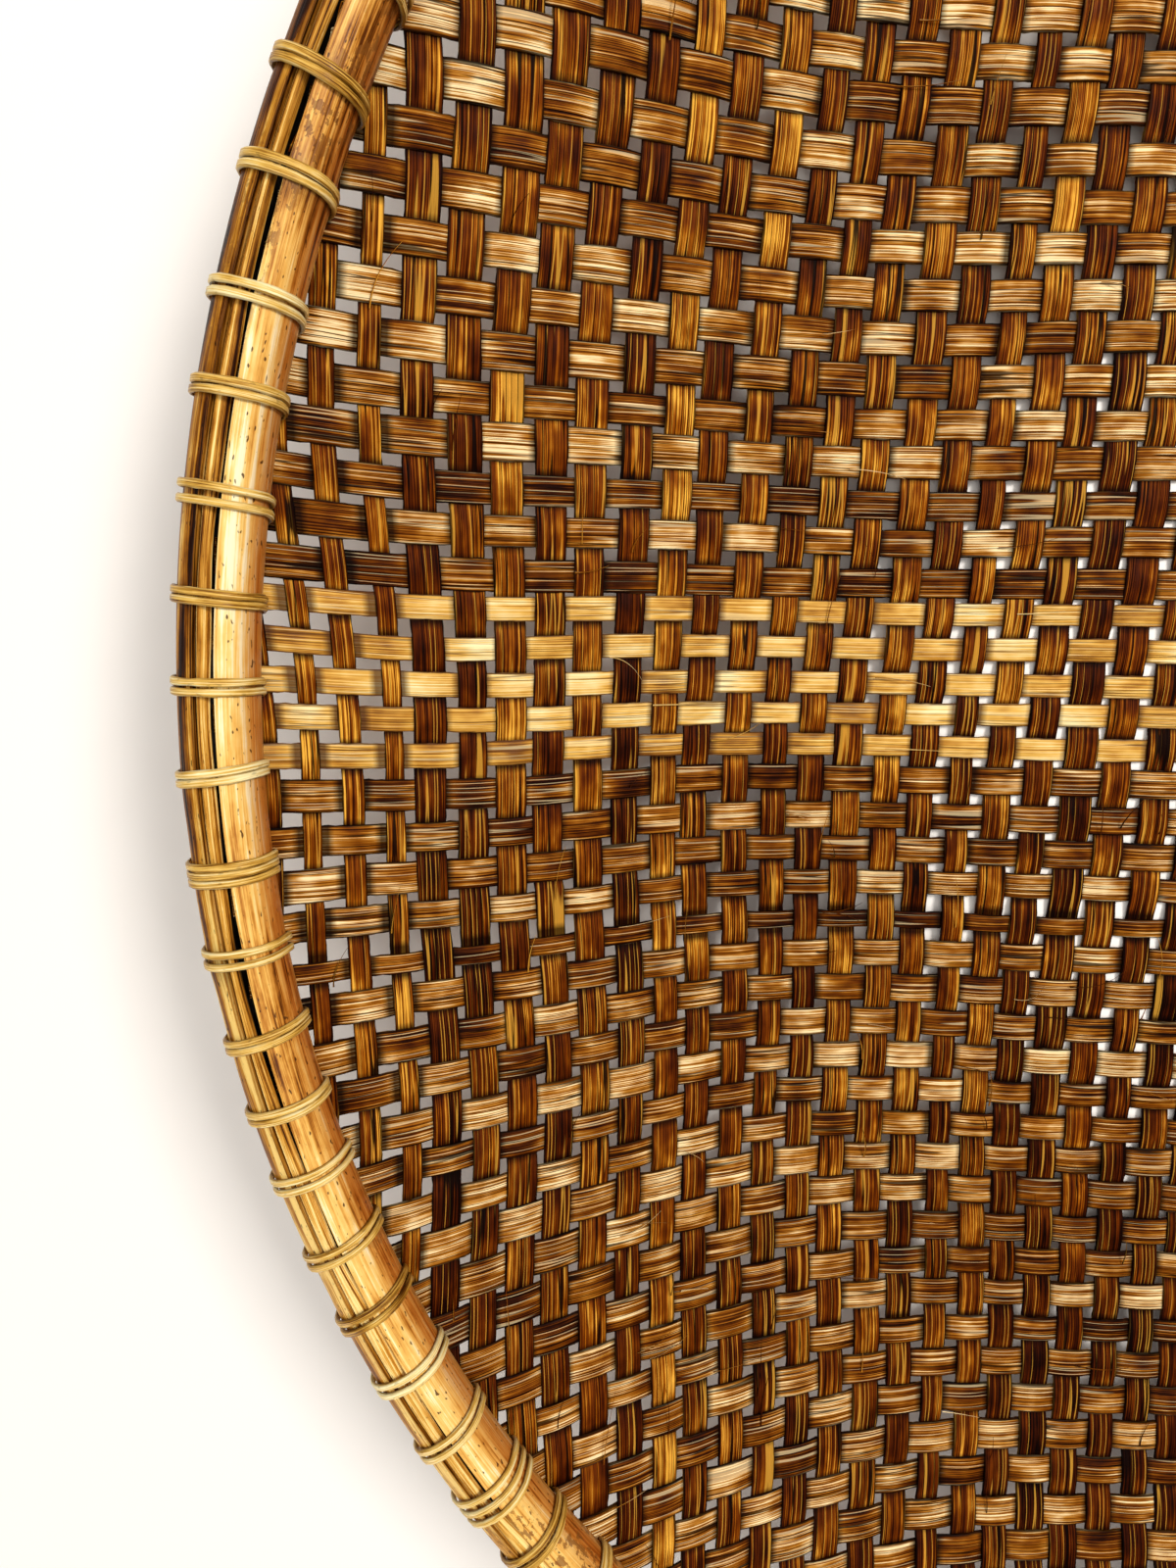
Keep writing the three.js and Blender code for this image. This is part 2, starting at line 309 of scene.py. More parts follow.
def loose_fibre(rng, line, warp):
    """A hair split off a strip: it starts on the strip, rises along part of a sine, bends aside
    as the square of the distance, and thins towards its end."""
    start = rng.uniform(-FIBRE_ZONE, FIBRE_ZONE)
    away = np.linspace(0, 1, FIBRE_POINTS)
    along = start + rng.uniform(*FIBRE_LENGTH) * MM * away
    aside = line + rng.uniform(-0.5, 0.5) * STRIP_WIDTH
    aside = aside + rng.normal(0, FIBRE_BEND) * MM * away**2
    x, y = strip_to_plan(warp, aside, along)
    rise = rng.uniform(*FIBRE_RISE) * MM
    path = on_mat(x, y, 0.9 * MM + rise * np.sin(np.pi * away * rng.uniform(0.4, 1)))
    corner = np.linspace(0, 2 * np.pi, 3, endpoint=False)
    thick = rng.uniform(*FIBRE_RADIUS) * MM * (1 - FIBRE_TAPER * away)[:, None]
    sideways = thick * np.cos(corner)[None, :]
    points = np.repeat(path[:, None], len(corner), 1)
    points[..., 0 if warp else 1] += sideways
    points[..., 2] += thick * np.sin(corner)[None, :]
    pattern = np.stack(np.broadcast_arrays(along[:, None], 4 * sideways), -1)
    tone = np.stack([rng.choice(FIBRE_TONES), rng.random(), 1.0, 0.0])
    if np.hypot(x, y).max() > mat_reach - CLEAR_OF_RIM:
        return None
    return points, pattern, np.broadcast_to(tone, (*points.shape[:2], 4))


SMOOTH_BELOW = math.radians(38)  # faces meeting at less than this are shaded as one surface


def tubes(name, runs, closed=False):
    """Closed tubes from runs of cross-sections: neighbouring sections are joined by four-sided
    faces, and the ends are closed by one face each, or the last section meets the first."""
    corners, sizes, base = [], [], 0
    for points, _, _ in runs:
        n, m = points.shape[:2]
        index = base + np.arange(n * m).reshape(n, m)
        base += n * m
        first = index if closed else index[:-1]
        after = np.roll(index, -1, 0) if closed else index[1:]
        quads = np.stack([first, after, np.roll(after, -1, 1), np.roll(first, -1, 1)], -1)
        corners.append(quads.ravel())
        sizes.append(np.full(quads.size // 4, 4))
        if not closed:
            corners.append(np.concatenate([index[0], index[-1][::-1]]))
            sizes.append(np.array([m, m]))
    points, pattern, tint = (
        np.concatenate([run[k].reshape(-1, run[k].shape[-1]) for run in runs]) for k in range(3)
    )
    corners, sizes = np.concatenate(corners), np.concatenate(sizes)
    mesh = bpy.data.meshes.new(name)
    mesh.vertices.add(len(points))
    mesh.vertices.foreach_set("co", points.astype(np.float32).ravel())
    mesh.loops.add(len(corners))
    mesh.loops.foreach_set("vertex_index", corners.astype(np.int32))
    mesh.polygons.add(len(sizes))
    starts = np.concatenate([[0], np.cumsum(sizes)[:-1]])
    mesh.polygons.foreach_set("loop_start", starts.astype(np.int32))
    mesh.update(calc_edges=True)
    places = mesh.uv_layers.new(name="strip")
    places.data.foreach_set("uv", pattern[corners].astype(np.float32).ravel())
    shade = mesh.attributes.new("tint", "FLOAT_COLOR", "POINT")
    shade.data.foreach_set("color", tint.astype(np.float32).ravel())
    piece = bpy.data.objects.new(name, mesh)
    bpy.context.scene.collection.objects.link(piece)
    mesh.shade_smooth()
    mesh.set_sharp_from_angle(angle=SMOOTH_BELOW)
    return piece


def stands_for(piece, node, material):
    """The piece gets its material and takes the place of a CAD node."""
    piece.data.materials.append(material)
    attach(piece, "root")
    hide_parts(node)


def woven_group(name, part, warp, node, material):
    """A group of like strips and the fibres loose on them, as one object."""
    rng = np.random.default_rng(part.start + (1000 if warp else 2000))
    lines, widths, moods = (row[part] for row in (warps if warp else wefts))
    others = (wefts if warp else warps)[0]
    runs = [loose_fibre(rng, line, warp) for line in np.repeat(lines, FIBRES_PER_STRIP)]
    for k, (line, width, mood) in enumerate(zip(lines, widths, moods), part.start):
        parity = k if warp else k + 1
        runs.append(strip_run(rng, line, width, mood, others, parity, warp, k))
    runs = [run for run in runs if run is not None]
    if not warp:  # a section turns the other way about a weft
        runs = [tuple(values[:, ::-1] for values in run) for run in runs]
    stands_for(tubes(f"{name}_woven", runs), node, material)


def linear(hex_colour):
    """sRGB hex to linear RGBA."""
    value = int(hex_colour, 16)
    srgb = [(value >> shift & 255) / 255 for shift in (16, 8, 0)]
    return [c / 12.92 if c <= 0.04045 else ((c + 0.055) / 1.055) ** 2.4 for c in srgb] + [1.0]


def add(material, kind, inputs=(), **settings):
    """One node with its settings. Its inputs, by name or in order, are fixed values, nodes
    (their first output) or outputs."""
    node = material.node_tree.nodes.new("ShaderNode" + kind)
    for key, value in settings.items():
        setattr(node, key, value)
    for key, value in inputs.items() if isinstance(inputs, dict) else enumerate(inputs):
        if isinstance(value, bpy.types.Node):
            value = value.outputs[0]
        if isinstance(value, bpy.types.NodeSocket):
            material.node_tree.links.new(value, node.inputs[key])
        else:
            node.inputs[key].default_value = value
    return node


def bare_material(name):
    """A material whose nodes are still to be added."""
    material = bpy.data.materials.new(name)
    material.use_nodes = True
    material.node_tree.nodes.clear()
    return material


def stain(ramp, stops):
    """Gives a colour ramp its places and sRGB colours."""
    elements = ramp.color_ramp.elements
    while len(elements) < len(stops):
        elements.new(0.5)
    for element, (place, hex_colour) in zip(elements, stops):
        element.position, element.color = place, linear(hex_colour)


def fibre_noise(material, size, detail, rough=0.6):
    """Streaks along a strip: noise stretched to a fibre's length and width in millimetres."""
    length, width = size
    place = add(material, "UVMap", uv_map="strip")
    scaled = add(material, "Mapping", {"Vector": place, "Scale": (1000 / length, 1000 / width, 1)})
    look = {"Vector": scaled, "Scale": 1.0, "Detail": detail, "Roughness": rough}
    return add(material, "TexNoise", look, noise_dimensions="2D")


def about_middle(material, base, *terms):
    """A value plus any number of outputs, each taken about its middle (0.5) and scaled, held
    between 0 and 1."""
    total = base - 0.5 * sum(gain for _, gain in terms)
    for output, gain in terms:
        total = add(material, "Math", (output, gain, total), operation="MULTIPLY_ADD")
    total.use_clamp = True
    return total


def hairlines(material, size, thin, strength):
    """Thin lines along a strip, where a stretched noise passes its middle value."""
    noise = fibre_noise(material, size, 0)
    away = add(material, "Math", (noise, 0.5), operation="SUBTRACT")
    away = add(material, "Math", (away,), operation="ABSOLUTE")
    return add(material, "MapRange", (away, thin * 0.5, thin, strength, 0.0))


# Sizes of the grain, length and width in mm. Bamboo's fibres are about 0.1 mm wide; they are
# drawn in bundles of 0.26 mm, the finest that still show.
GRAIN = 38, 0.26
PATCH = 9, 4.0
PALE_LINE = 120, 1.7
SPLIT = 90, 1.15
GRAIN_GAIN = 1.8
PATCH_GAIN = 0.85
PALE_LINE_THIN = 0.032
SPLIT_THIN = 0.030
DIVED, RISEN = 0.26, 0.52  # how far up a strip is where the painted shade is full and where it ends
SHADE_UNDER = 0.85
SHADE_ON_SHOULDERS = 0.9


def split_bamboo(
    name, stops, soot_and_shade, bold, tone_gain, float_gain, rough, shine, pale_lines, dark_lines
):
    """Split bamboo. The grain, patches and tones, each taken about its middle, add up to a place
    on the colour ramp. Pale lines and dark splits are laid over it, with painted shade where the
    strip dives under a crossing strip and along its shoulders, and the grain stands up as fine
    ridges."""
    material = bare_material(name)
    tint = add(material, "Attribute", attribute_name="tint")
    strip_tone, float_tone, shown = add(material, "SeparateColor", [tint]).outputs
    grain = fibre_noise(material, GRAIN, 2)
    patch = fibre_noise(material, PATCH, 2)
    grains = (grain, GRAIN_GAIN * bold), (patch, PATCH_GAIN)
    tones = (strip_tone, tone_gain), (float_tone, float_gain)
    colour = add(material, "ValToRGB", [about_middle(material, 0.5, *grains, *tones)])
    stain(colour, stops)
    pale_line = hairlines(material, PALE_LINE, PALE_LINE_THIN, pale_lines)
    split = hairlines(material, SPLIT, SPLIT_THIN, dark_lines)
    # Painted shade: near black where the strip dives under a crossing strip, and along its shoulders
    # beside the gaps.
    under = add(material, "MapRange", (shown, DIVED, RISEN, SHADE_UNDER, 0.0))
    shoulder_shade = tint.outputs["Alpha"]
    shoulder_shade = add(material, "MapRange", (shoulder_shade, 0.05, 0.6, 0.0, SHADE_ON_SHOULDERS))
    palest = stops[-1][1]
    for amount, over in (pale_line, palest), (split, soot_and_shade), (under, soot_and_shade), (shoulder_shade, soot_and_shade):
        layer = {0: amount, 6: colour, 7: linear(over)}
        colour = add(material, "Mix", layer, data_type="RGBA").outputs[2]
    gloss = about_middle(material, rough, (grain, -0.5), (patch, 0.3))
    ridges = add(material, "Math", (grain, split), operation="SUBTRACT")
    bump = add(material, "Bump", {"Height": ridges, "Strength": 1.0, "Distance": 0.15 * MM})
    surface = {"Base Color": colour, "Roughness": gloss, "Normal": bump}
    surface["Specular IOR Level"] = shine
    shader = add(material, "BsdfPrincipled", surface)
    add(material, "OutputMaterial", {"Surface": shader})
    return material


# Old smoke has gone into the fibres: a deep red-brown with amber only where hands have worn it,
# nearly without gloss.
smoked_bamboo = split_bamboo(
    "smoke-darkened split bamboo",
    [(0.0, "100200"), (0.32, "3E1200"), (0.6, "6C2E02"), (0.82, "A65E0A"), (1.0, "F0B040")],
    soot_and_shade="080100", bold=0.85, tone_gain=0.65, float_gain=0.3, rough=0.5, shine=0.03,
    pale_lines=0.5, dark_lines=0.95,
)
left_half = slice(0, WARPS_EACH_SIDE)
right_half = slice(WARPS_EACH_SIDE, len(warp_at))
woven_group("warp_strips_left", left_half, True, "warp_strips", smoked_bamboo)
woven_group("warp_strips_right", right_half, True, "warp_strips", smoked_bamboo)

# ---------------------------------------------------------------------------------------------
# Dark weft strips. The same split bamboo laid from side to side, lighter than the warps, woven
# over one and under one. Five light wefts part them into a near and a far group.

# Less smoked than the warps: golden brown with bold dark and straw-coloured fibres, matt.
aged_bamboo = split_bamboo(
    "aged split bamboo",
    [(0.0, "1C0500"), (0.26, "552302"), (0.5, "884A06"), (0.72, "BE802C"), (0.95, "FCE2AC")],
    soot_and_shade="090200", bold=1.0, tone_gain=0.5, float_gain=0.5, rough=0.5, shine=0.03,
    pale_lines=0.4, dark_lines=0.85,
)
woven_group("weft_strips_near", near_part, False, "weft_strips_near", aged_bamboo)
woven_group("weft_strips_far", far_part, False, "weft_strips_far", aged_bamboo)

# ---------------------------------------------------------------------------------------------
# Light wefts. Five narrower strips across the middle, split from the bamboo's outermost layer,
# golden where the others are brown.

# The hard outer layer is smooth: its grain is faint, and it has a soft gloss.
skin_bamboo = split_bamboo(
    "golden bamboo skin",
    [(0.0, "70400E"), (0.28, "B87C24"), (0.56, "E4B050"), (1.0, "FEEAB0")],
    soot_and_shade="4A2406", bold=0.75, tone_gain=0.3, float_gain=0.65, rough=0.42, shine=0.12,
    pale_lines=0.35, dark_lines=0.6,
)
for number in range(1, 2 * LIGHT_EACH_SIDE + 2):
    name, at = f"light_weft_{number}", light_part.start + number - 1
    woven_group(name, slice(at, at + 1), False, name, skin_bamboo)

# ---------------------------------------------------------------------------------------------
# Outer hoop. Half of a split cane bent to a ring, flat against the mat and rounded outside,
# with the brown, streaked skin left on.

ROUND_STATIONS = 720
SECTION_POINTS = 40
BAR_RADIUS = 6.7 * MM
ROUNDNESS = 2.3  # 2 is a circle; the hoops' shoulders are a little fuller
EDGE_ROUNDING = 0.5 * MM
SPLINT_GAP = 0.1 * MM
SEAM_HALF = 2.3 * MM  # the seam between the hoops, painted near black below its top as the shade of the deep gap
SEAM_TOP = 4.8 * MM
SEAM_FADE = 0.5 * MM
PALEST_AT = math.radians(215)
KNOT_LENGTH = 0.012  # radians round the rim
KNOT_SWELL = 0.03
# Slow changes round a hoop, each as its size and how many there are.
SWELLS = 0.012, 40
RIPPLES = 0.008, 150
TONE_PATCHES = 0.12, 30
OUTER_KNOTS = 0.35, 1.72, 2.62, 3.31, 4.6, 5.7
bar_centre = rim_radius - BAR_RADIUS
bar_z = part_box("outer_hoop")[0][2] / 2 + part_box("outer_hoop")[1][2] / 2
outer_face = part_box("edge_splint")[1][0] + SPLINT_GAP - bar_centre
section_angle = np.linspace(0, 2 * np.pi, SECTION_POINTS, endpoint=False)
around = np.linspace(0, 2 * np.pi, ROUND_STATIONS, endpoint=False)


def ring_noise(rng, count):
    """Smooth random values round a ring: count random numbers, joined end to end."""
    return joined(rng.normal(size=count), around / (2 * np.pi) * count)


def signed_power(values, power):
    """A power of the size of the values, with their signs kept."""
    return np.sign(values) * np.abs(values) ** power


def bar_section(angle, radius):
    """The rim bar's outline, a superellipse, as distances out and up from the bar's centre."""
    power = 2 / ROUNDNESS
    return radius * signed_power(np.cos(angle), power), radius * signed_power(np.sin(angle), power)


def not_past(values, limit):
    """Values held above a limit, with a rounded turn where they meet it."""
    past = values - limit
    return limit + (past + np.sqrt(past**2 + EDGE_ROUNDING**2)) / 2


def bent_hoop(name, shape, seed, knots, swing, material):
    """A hoop: a section turned round the tray, swelling a little at its joints and wavering by
    smooth noise. The shape function trims a section of the round bar to this hoop. Its tone
    swings three times between pale and dark on the way round. The tint is the tone, how far
    inward the surface faces (for the painted shade on that side), the joints, and the seam
    (for its painted shade)."""
    rng = np.random.default_rng(seed)
    joint = np.zeros_like(around)
    for knot in knots:
        away = (around - knot + np.pi) % (2 * np.pi) - np.pi
        joint += np.exp(-((away / KNOT_LENGTH) ** 2))
    size = 1 + SWELLS[0] * ring_noise(rng, SWELLS[1]) + RIPPLES[0] * ring_noise(rng, RIPPLES[1])
    size = size + KNOT_SWELL * joint - KNOT_SWELL / 2
    section_out, section_up = bar_section(section_angle, BAR_RADIUS)
    out, up = shape(section_out[None, :] * size[:, None], section_up[None, :] * size[:, None])
    radius, height = bar_centre + out, bar_z + up
    points = np.stack(
        [radius * np.cos(around)[:, None], radius * np.sin(around)[:, None], height], -1
    )
    steps = np.hypot(np.diff(section_out), np.diff(section_up))
    girth = np.concatenate([[0], np.cumsum(steps)])[None, :]
    length = (around * rim_radius)[:, None]
    pattern = np.stack(np.broadcast_arrays(length, girth), -1)
    tone = 0.52 + TONE_PATCHES[0] * ring_noise(rng, TONE_PATCHES[1])
    tone = tone + swing * np.cos(3 * (around - PALEST_AT))
    # Painted shade: the side facing the tray's middle is darkened towards orange by this.
    inward = np.clip(-out / BAR_RADIUS, 0, 1) ** 6
    joint = np.clip(joint, 0, 1)
    # Painted shade: the faces in the seam between the hoops are painted near black below its top.
    in_seam = (np.abs(out) < SEAM_HALF) * np.clip((SEAM_TOP - up) / SEAM_FADE, 0, 1)
    tint = np.stack(np.broadcast_arrays(tone[:, None], inward, joint[:, None], in_seam), -1)
    piece = tubes(f"{name}_bent", [(points, pattern, tint)], closed=True)
    stands_for(piece, name, material)


# Sizes of the marks on cane skin, length and width in mm, and the stretch of the noise over
# which a mark comes up.
FINE_STREAK = 18, 0.35
MOTTLE = 7, 3.0
SPECK = 1.9, 0.8
SPECK_FROM = 0.285, 0.235
BRUISE = 40, 30
BRUISE_FROM = 0.6, 0.66
FLAKE = 4, 2.6
FLAKE_FROM = 0.53, 0.56
# Painted shade: the near-black colour laid in the deep seam between the hoops.
SEAM_SHADE = "080301"
BRUISED_SKIN = "7E4A1A"


def cane_skin(
    name, stops, edge, side_shade_amount, streak, bold, soot_and_shade, specks, rough, bruises, shine
):
    """The skin of a cane. Long and fine streaks along the bend, mottles and the hoop's own tone,
    each taken about its middle, add up to a place on the colour ramp. Painted shade on the
    inward side, dark specks, flaked bruises, a ring at each joint, painted shade at the binders'
    edges on the bar and painted near-black shade in the seam are laid over it."""
    material = bare_material(name)
    tint = add(material, "Attribute", attribute_name="tint")
    tone, inward, joint = add(material, "SeparateColor", [tint]).outputs
    long_streak = fibre_noise(material, streak, 3)
    fine = fibre_noise(material, FINE_STREAK, 2)
    mottle = fibre_noise(material, MOTTLE, 3)
    streaks = (long_streak, 2.0 * bold), (fine, 0.7 * bold)
    tones = (mottle, 0.6), (tone, 1.0)
    colour = add(material, "ValToRGB", [about_middle(material, 0.5, *streaks, *tones)])
    stain(colour, stops)
    side_shade = add(material, "Math", (inward, side_shade_amount), operation="MULTIPLY")
    speck = fibre_noise(material, SPECK, 1)
    speck = add(material, "MapRange", (speck, *SPECK_FROM, 0.0, specks))
    bruise = fibre_noise(material, BRUISE, 0)
    bruise = add(material, "MapRange", (bruise, *BRUISE_FROM, 0.0, bruises))
    flake = fibre_noise(material, FLAKE, 4, 0.7)
    flake = add(material, "MapRange", (flake, *FLAKE_FROM, 0.0, 1.0))
    flaked = add(material, "Math", (bruise, flake), operation="MULTIPLY")
    # On the hoops this is the dark ring at each joint; on the binders it paints shade at the cane's
    # edges on the bar.
    joint_ring_and_edge_shade = add(material, "Math", (joint, 0.5), operation="MULTIPLY")
    # Painted shade: the orange multiply on the inward side, the joint ring's colour at the binders'
    # edges on the bar, and the seam's near black.
    for amount, over, way in (
        (side_shade, edge, "MULTIPLY"),
        (speck, soot_and_shade, "MIX"),
        (flaked, BRUISED_SKIN, "MIX"),
        (joint_ring_and_edge_shade, soot_and_shade, "MIX"),
        (tint.outputs["Alpha"], SEAM_SHADE, "MIX"),
    ):
        layer = {0: amount, 6: colour, 7: linear(over)}
        colour = add(material, "Mix", layer, data_type="RGBA", blend_type=way).outputs[2]
    gloss = about_middle(material, rough, (mottle, 0.3))
    ridges = add(material, "Math", (fine, 0.7 * bold, long_streak), operation="MULTIPLY_ADD")
    bump = add(material, "Bump", {"Height": ridges, "Strength": 0.7, "Distance": 0.2 * MM})
    surface = {"Base Color": colour, "Roughness": gloss, "Normal": bump}
    surface |= {"Specular IOR Level": shine, "Coat Weight": shine * 0.4, "Coat Roughness": 0.22}
    shader = add(material, "BsdfPrincipled", surface)
    add(material, "OutputMaterial", {"Surface": shader})
    return material


# The skin is left on: wide brown and amber streaks, dark specks, and only a trace of gloss.
streaked_cane = cane_skin(
    "split cane with its skin",
    [(0.0, "1E0700"), (0.2, "582A04"), (0.42, "965A12"), (0.68, "C88A2C"), (1.0, "F4CC74")],
    edge="A86E2A", side_shade_amount=0.3, streak=(55, 2.4), bold=1.15, soot_and_shade="1A0A02", specks=0.8,
    rough=0.42, bruises=0.5, shine=0.06,
)


def outer_half(out, up):
    """The bar's outer part, cut flat where it faces the mat's edge."""
    return not_past(out, outer_face), up


bent_hoop("outer_hoop", outer_half, 31, OUTER_KNOTS, 0.16, streaked_cane)

# ---------------------------------------------------------------------------------------------
# Inner hoop. A paler split cane, scraped clean and polished by hands, bent to a ring on top of
# the mat. Its lower side is cut to the slope of the wall.

INNER_KNOTS = 0.9, 2.0, 2.80, 3.95, 5.2
MAT_GAP = 0.3 * MM
inner_face = edge_radius - HALF_MAT - MAT_GAP - bar_centre

# Scraped cane is the colour of honey, with narrow streaks, painted orange shade on its inward
# side, brown bruises where the surface has flaked, and the shine of long handling.
pale_cane = cane_skin(
    "pale scraped cane",
    [(0.0, "5E2E04"), (0.22, "BE7A26"), (0.46, "ECB254"), (0.74, "FAD27A"), (1.0, "FFF2C4")],
    edge="C07A22", side_shade_amount=0.85, streak=(45, 1.2), bold=0.85, soot_and_shade="4A260A", specks=0.9,
    rough=0.36, bruises=0.75, shine=0.2,
)


def inner_half(out, up):
    """The bar's inner part, flat towards the mat's edge, with its lower side on the wall."""
    out = -not_past(-out, -inner_face)
    height, slope = bowl(np.minimum(bar_centre + out, join_radius))
    seat = height + (HALF_MAT + MAT_GAP) / np.cos(slope) - bar_z
    return out, not_past(up, seat)


bent_hoop("inner_hoop", inner_half, 47, INNER_KNOTS, 0.1, pale_cane)

# ---------------------------------------------------------------------------------------------
# Edge splint. A thin golden splint on edge between the hoops. Its head leans in over the cut
# ends of the mat.

SPLINT_THICK = 1.4 * MM
SPLINT_HEAD = 1.25 * MM  # how far the head reaches in
HEAD_WAVER = 0.4, 110  # its size and how many there are round the rim
SPLINT_SEED = 61
splint_low, splint_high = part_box("edge_splint")
splint_middle = splint_high[0] - SPLINT_THICK / 2 - bar_centre

# Cane that has aged less than the outer hoop: gold with long brown streaks, dull.
golden_splint = cane_skin(
    "golden splint",
    [(0.0, "2A0E02"), (0.2, "7A440C"), (0.45, "B87A24"), (0.7, "DEA444"), (1.0, "FFE090")],
    edge="C98B35", side_shade_amount=0.3, streak=(60, 1.4), bold=1.15, soot_and_shade="1E0E05", specks=0.5,
    rough=0.42, bruises=0.0, shine=0.08,
)


def splint_shape(out, up):
    """The bar's outline squeezed to a thin upright strip, with a head that leans in over the
    mat's edge, wider and narrower by smooth noise."""
    tall = (splint_high[2] - splint_low[2]) / 2
    height = up / BAR_RADIUS * tall + splint_low[2] + tall
    above = np.clip((height - mat_top - MAT_GAP) / MM, 0, 1)
    waver = HEAD_WAVER[0] * ring_noise(np.random.default_rng(SPLINT_SEED), HEAD_WAVER[1])
    head = SPLINT_HEAD * (1 + waver)[:, None]
    inner = np.clip(-out / BAR_RADIUS, 0, 1) ** 0.5
    squeezed = out / BAR_RADIUS * SPLINT_THICK / 2
    return splint_middle + squeezed - head * above * inner, height - bar_z


bent_hoop("edge_splint", splint_shape, 53, (), 0.1, golden_splint)

# ---------------------------------------------------------------------------------------------
# Rim binders. Lengths of thin cane, 1.4 mm wide. Each goes round both hoops and through the mat
# two or three times, then runs on under the rim to the next place.

LASHINGS = 104
CANES = 8
CANE_WIDTH = 1.4 * MM
CANE_THICK = 0.75 * MM
CANE_OFF_BAR = 0.25 * MM
CANE_SEED = 5
TURN_STEPS = 26
RUN_STEPS = 5
RUN_DROP = 0.3 * MM
THREE_TURNS = 0.16  # the share of places with three turns instead of two
TURN_SPACING = 1.08  # least distance between turns, in widths of the cane; one more at most
SLANT = 0.3, 0.35  # mm, the usual one and its spread
CANE_TONE = 0.55, 0.13
RUN_TONE = 0.4
UNEVEN_SPACING = 0.013  # radians, swinging five times round the rim
SPACING_START = 2.967
PLACE_SPREAD = 0.003  # radians
UNEVEN_CANE = 0.06
# The cane's section in widths and thicknesses, its flat side on the bar.
CANE_SECTION = np.array([
    (-0.5, 0.1), (-0.3, 0.0), (0.3, 0.0), (0.5, 0.1), (0.5, 0.5), (0.3, 0.9), (-0.3, 0.9), (-0.5, 0.5),
])


def lashing(rng, place):
    """The turns at one place, as rows of angle round the bar, station round the rim, drop below
    the bar and tone. The angle grows steadily, and the station moves on in the last quarter of
    each turn."""
    turns = 3 if rng.random() < THREE_TURNS else 2
    spread = CANE_WIDTH * (TURN_SPACING + rng.random() ** 2.5)
    slant = rng.normal(*SLANT) * MM
    turn = np.arange(turns * TURN_STEPS) / TURN_STEPS
    moved = np.floor(turn) + np.clip(turn % 1 * 4 - 3, 0, 1) - (turns - 1) / 2
    lean = slant * np.sin(2 * np.pi * turn)
    angle = -np.pi / 2 + 2 * np.pi * turn
    station = place + (moved * spread + lean) / rim_radius
    tone = CANE_TONE[0] + CANE_TONE[1] * rng.normal()
    return np.stack(np.broadcast_arrays(angle, station, 0.0, tone))


def run_on(place):
    """The cane's way under the rim to the next place, in the same rows as a lashing."""
    share = (np.arange(RUN_STEPS) + 1) / (RUN_STEPS + 1)
    distance = 2 * np.pi / LASHINGS - 4 * CANE_WIDTH / rim_radius
    station = place + 2 * CANE_WIDTH / rim_radius + share * distance
    return np.stack(np.broadcast_arrays(-np.pi / 2, station, RUN_DROP, RUN_TONE))


def binder(rng, first, count):
    """One length of cane: lashings and the runs between them make its path, and its section is
    carried along the path, flat on the bar. Its tint marks the edges on the bar, in the joints'
    channel, for painted shade there."""
    legs = []
    for k in range(count):
        place = (first + k) * 2 * np.pi / LASHINGS
        swing = UNEVEN_SPACING * math.sin(5 * (place - SPACING_START))
        place += swing + rng.normal(0, PLACE_SPREAD)
        legs.append(lashing(rng, place))
        if k < count - 1:
            legs.append(run_on(place))
    angle, station, drop, tone = np.concatenate(legs, axis=1)
    out, up = bar_section(angle, BAR_RADIUS + CANE_OFF_BAR)
    square = 2 - 2 / ROUNDNESS  # the power that gives the outline's normal
    face = np.stack(
        [signed_power(np.cos(angle), square), signed_power(np.sin(angle), square)], -1
    )
    face = face / np.linalg.norm(face, axis=1, keepdims=True)
    radial = np.stack([np.cos(station), np.sin(station), np.zeros_like(station)], -1)
    upward = np.array([0.0, 0.0, 1.0])
    normal = radial * face[:, :1] + upward * face[:, 1:]
    path = radial * (bar_centre + out)[:, None] + upward * (bar_z + up)[:, None]
    path = path + normal * drop[:, None]
    wide = np.cross(np.gradient(path, axis=0), normal)
    wide = wide / np.linalg.norm(wide, axis=1, keepdims=True)
    width = CANE_WIDTH * (1 + UNEVEN_CANE * rng.normal(size=len(path)))
    across = width[:, None] * CANE_SECTION[None, :, 0]
    points = path[:, None] + wide[:, None] * across[..., None]
    points = points + normal[:, None] * (CANE_THICK * CANE_SECTION[None, :, 1])[..., None]
    length = np.concatenate([[0], np.cumsum(np.linalg.norm(np.diff(path, axis=0), axis=1))])
    pattern = np.stack(np.broadcast_arrays(length[:, None] + first, across), -1)
    # Painted shade: the cane's edges on the bar are darkened through the joints' channel.
    low_edge = (np.abs(CANE_SECTION[:, 0]) > 0.4) * (1 - CANE_SECTION[:, 1])
    tone = np.clip(tone, 0, 1)[:, None]
    tint = np.stack(np.broadcast_arrays(tone, 0.0, 1.6 * low_edge[None, :], 0.0), -1)
    return points, pattern, tint
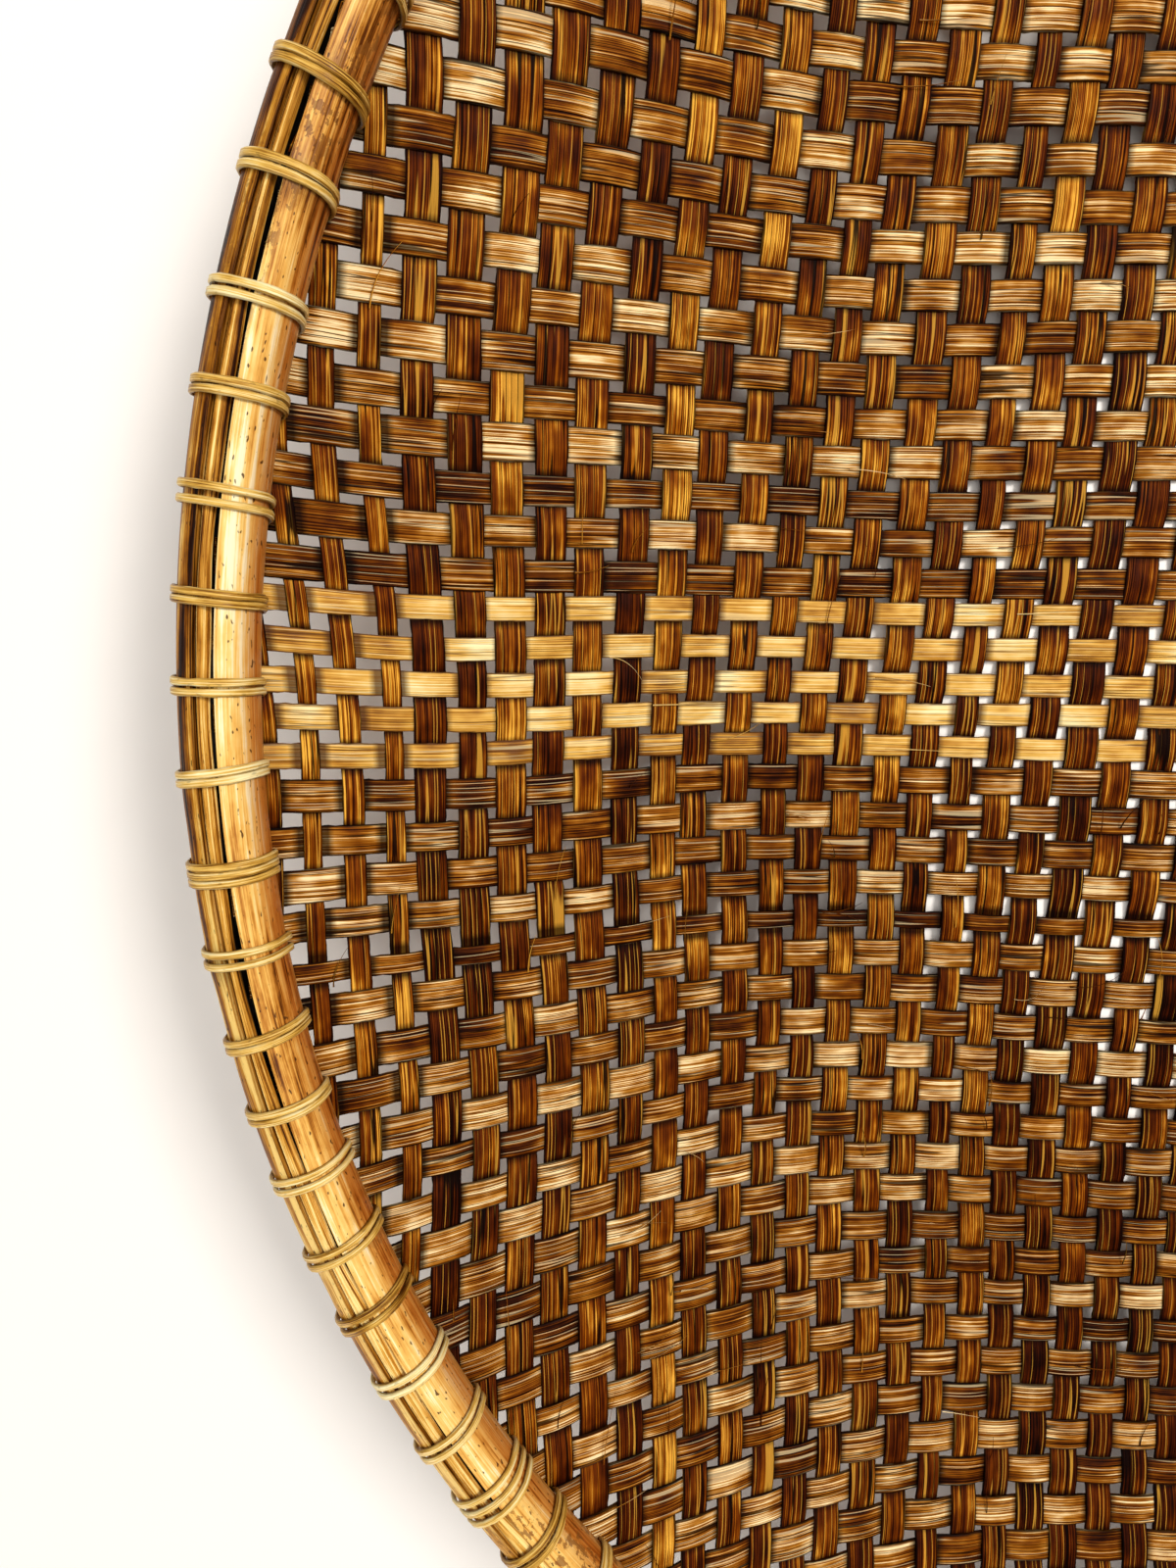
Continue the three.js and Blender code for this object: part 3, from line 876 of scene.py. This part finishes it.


# Split thin and never smoked: straw yellow with fine streaks, painted shade at the edges on the
# bar, and a soft gloss.
straw_cane = cane_skin(
    "thin straw-coloured cane",
    [(0.0, "5A3008"), (0.26, "B07C28"), (0.55, "E6B858"), (1.0, "FFF0B8")],
    edge="B07E3A", side_shade_amount=0.3, streak=(12, 0.3), bold=0.8, soot_and_shade="1A0A02", specks=0.3,
    rough=0.34, bruises=0.0, shine=0.14,
)
rng = np.random.default_rng(CANE_SEED)
per_cane = LASHINGS // CANES
for cane in range(CANES):
    node = f"rim_binder_{cane + 1}"
    piece = tubes(f"{node}_wound", [binder(rng, cane * per_cane + 0.5, per_cane)])
    stands_for(piece, node, straw_cane)

# ---------------------------------------------------------------------------------------------
# Floor, light and camera. A plain pale floor, a soft light from the far right, a wide one
# overhead, a low one from the near left, and the camera close above the left part of the tray.

FLOOR_SIZE = 6.0
SKY_LIGHT = 0.16
LENS = 22.5
CAMERA_PLACE = -0.1806, 0.0201, 0.2093
CAMERA_TURN = -10.0, 3.19, 1.37  # degrees

bpy.ops.mesh.primitive_plane_add(size=FLOOR_SIZE, location=(0, 0, 0))
floor = bpy.context.object
floor.name = "floor"
paper = bare_material("pale matt floor")
shader = add(paper, "BsdfPrincipled", {"Base Color": linear("FCF6EF"), "Roughness": 0.9})
add(paper, "OutputMaterial", {"Surface": shader})
floor.data.materials.append(paper)

world = bpy.data.worlds.new("soft studio")
bpy.context.scene.world = world
world.use_nodes = True
world.node_tree.nodes["Background"].inputs["Color"].default_value = linear("FFFFFF")
world.node_tree.nodes["Background"].inputs["Strength"].default_value = SKY_LIGHT


def soft_light(name, place, aim, size, power, colour):
    """A square area light at a place, pointed at another."""
    data = bpy.data.lights.new(name, "AREA")
    data.size, data.energy, data.color = size, power, linear(colour)[:3]
    light = bpy.data.objects.new(name, data)
    light.location = place
    towards = Vector(aim) - Vector(place)
    light.rotation_euler = towards.to_track_quat("-Z", "Y").to_euler()
    bpy.context.scene.collection.objects.link(light)


soft_light("key", (0.6, 0.55, 1.15), (-0.2, 0, 0.03), 0.4, 16, "FFFCF8")
soft_light("overhead", (0, 0.2, 1.5), (0, 0, 0), 2.2, 18, "FFFDFA")
soft_light("low fill", (-1.1, -1.3, 0.5), (-0.15, -0.1, 0.02), 0.8, 9, "FFFFFF")

camera_data = bpy.data.cameras.new("camera")
camera_data.lens = LENS
camera_data.clip_start = 0.01
camera = bpy.data.objects.new("camera", camera_data)
camera.location = CAMERA_PLACE
camera.rotation_euler = [math.radians(angle) for angle in CAMERA_TURN]
bpy.context.scene.collection.objects.link(camera)
bpy.context.scene.camera = camera
bpy.context.scene.view_settings.view_transform = "Standard"
